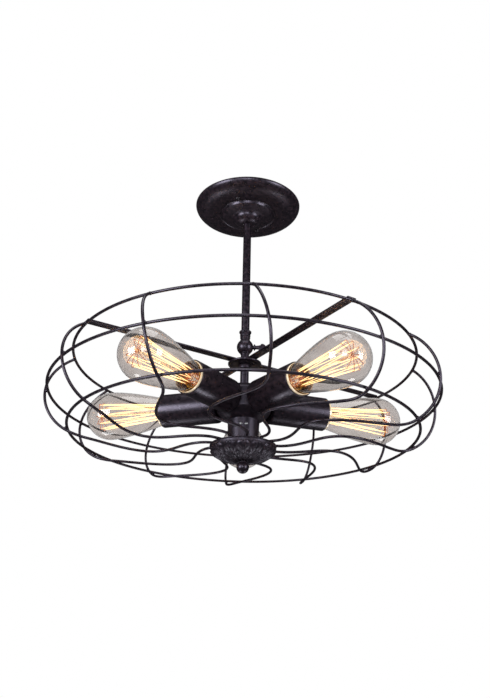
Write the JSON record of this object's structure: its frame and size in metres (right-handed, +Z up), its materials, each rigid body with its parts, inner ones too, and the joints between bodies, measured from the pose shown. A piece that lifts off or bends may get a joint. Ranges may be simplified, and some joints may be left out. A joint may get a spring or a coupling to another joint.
{
  "type": "semi-flush ceiling light",
  "caption": "Semi-flush ceiling light: saucer canopy, stem and tilting swivel over a round wire guard cage with bare pear-shaped filament lamps.",
  "frame": {"origin": "on the lamp's axis in the plane of the ceiling, at the centre of the crossbar's upper face", "axes": "+Z up out of the ceiling, the lamp hangs along -Z; the swivel's pin lies along X; azimuths run from -Y towards +X"},
  "size_m": [0.5089, 0.5089, 0.3942],
  "materials": {
    "dark_bronze_paint": "satin",
    "steel": "satin",
    "brass": "satin",
    "porcelain": "gloss",
    "smoked_glass": "gloss",
    "filament": "satin"
  },
  "bodies": {
    "ceiling_mount": {"canopy": "dark_bronze_paint", "ceiling_crossbar": "steel", "canopy_screw_1": "steel", "canopy_screw_2": "steel", "stem_nipple": "steel", "stem_tube": "dark_bronze_paint", "stem_collar": "dark_bronze_paint", "knuckle_upper_half": "dark_bronze_paint"},
    "thumb_screw": {"knuckle_thumb_screw": "dark_bronze_paint"},
    "cage": {"knuckle_lower_half": "dark_bronze_paint", "hub_plate": "dark_bronze_paint", "strip_1": "dark_bronze_paint", "strip_2": "dark_bronze_paint", "strip_3": "dark_bronze_paint", "strip_4": "dark_bronze_paint", "ring_top": "dark_bronze_paint", "ring_middle": "dark_bronze_paint", "ring_bottom": "dark_bronze_paint", "spoke_01": "dark_bronze_paint", "spoke_02": "dark_bronze_paint", "spoke_03": "dark_bronze_paint", "spoke_04": "dark_bronze_paint", "spoke_05": "dark_bronze_paint", "spoke_06": "dark_bronze_paint", "spoke_07": "dark_bronze_paint", "spoke_08": "dark_bronze_paint", "spoke_09": "dark_bronze_paint", "spoke_10": "dark_bronze_paint", "spoke_11": "dark_bronze_paint", "spoke_12": "dark_bronze_paint", "lower_rod": "dark_bronze_paint", "lamp_cluster": "dark_bronze_paint", "spoke_collector": "dark_bronze_paint", "rosette_bowl": "dark_bronze_paint", "ball_finial": "dark_bronze_paint", "socket_cup_1": "dark_bronze_paint", "socket_cup_2": "dark_bronze_paint", "socket_cup_3": "dark_bronze_paint", "socket_cup_4": "dark_bronze_paint", "socket_cup_5": "dark_bronze_paint", "lampholder_1": "porcelain", "lampholder_2": "porcelain", "lampholder_3": "porcelain", "lampholder_4": "porcelain", "lampholder_5": "porcelain"},
    "bulb_1": {"lamp_cap_1": "brass", "lamp_glass_1": "smoked_glass", "filament_mount_1": "filament"},
    "bulb_2": {"lamp_cap_2": "brass", "lamp_glass_2": "smoked_glass", "filament_mount_2": "filament"},
    "bulb_3": {"lamp_cap_3": "brass", "lamp_glass_3": "smoked_glass", "filament_mount_3": "filament"},
    "bulb_4": {"lamp_cap_4": "brass", "lamp_glass_4": "smoked_glass", "filament_mount_4": "filament"},
    "bulb_5": {"lamp_cap_5": "brass", "lamp_glass_5": "smoked_glass", "filament_mount_5": "filament"}
  },
  "joints": [
    {"name": "knuckle_tilt", "type": "hinge", "parent": "ceiling_mount", "child": "cage", "pos_m": [0, 0, -0.22152], "axis": [1, 0, 0], "range_deg": [-45, 45]},
    {"name": "thumb_screw_turn", "type": "hinge", "parent": "ceiling_mount", "child": "thumb_screw", "pos_m": [0, 0, -0.22152], "axis": [1, 0, 0], "range_deg": [0, 180]},
    {"name": "bulb_1_turn", "type": "hinge", "parent": "cage", "child": "bulb_1", "pos_m": [0.09405, -0.12944, -0.302], "axis": [0.5878, -0.809, 0], "range_deg": [0, 90]},
    {"name": "bulb_2_turn", "type": "hinge", "parent": "cage", "child": "bulb_2", "pos_m": [0.15217, 0.04944, -0.302], "axis": [0.9511, 0.309, 0], "range_deg": [0, 90]},
    {"name": "bulb_3_turn", "type": "hinge", "parent": "cage", "child": "bulb_3", "pos_m": [0, 0.16, -0.302], "axis": [0, 1, 0], "range_deg": [0, 90]},
    {"name": "bulb_4_turn", "type": "hinge", "parent": "cage", "child": "bulb_4", "pos_m": [-0.15217, 0.04944, -0.302], "axis": [-0.9511, 0.309, 0], "range_deg": [0, 90]},
    {"name": "bulb_5_turn", "type": "hinge", "parent": "cage", "child": "bulb_5", "pos_m": [-0.09405, -0.12944, -0.302], "axis": [-0.5878, -0.809, 0], "range_deg": [0, 90]}
  ]
}
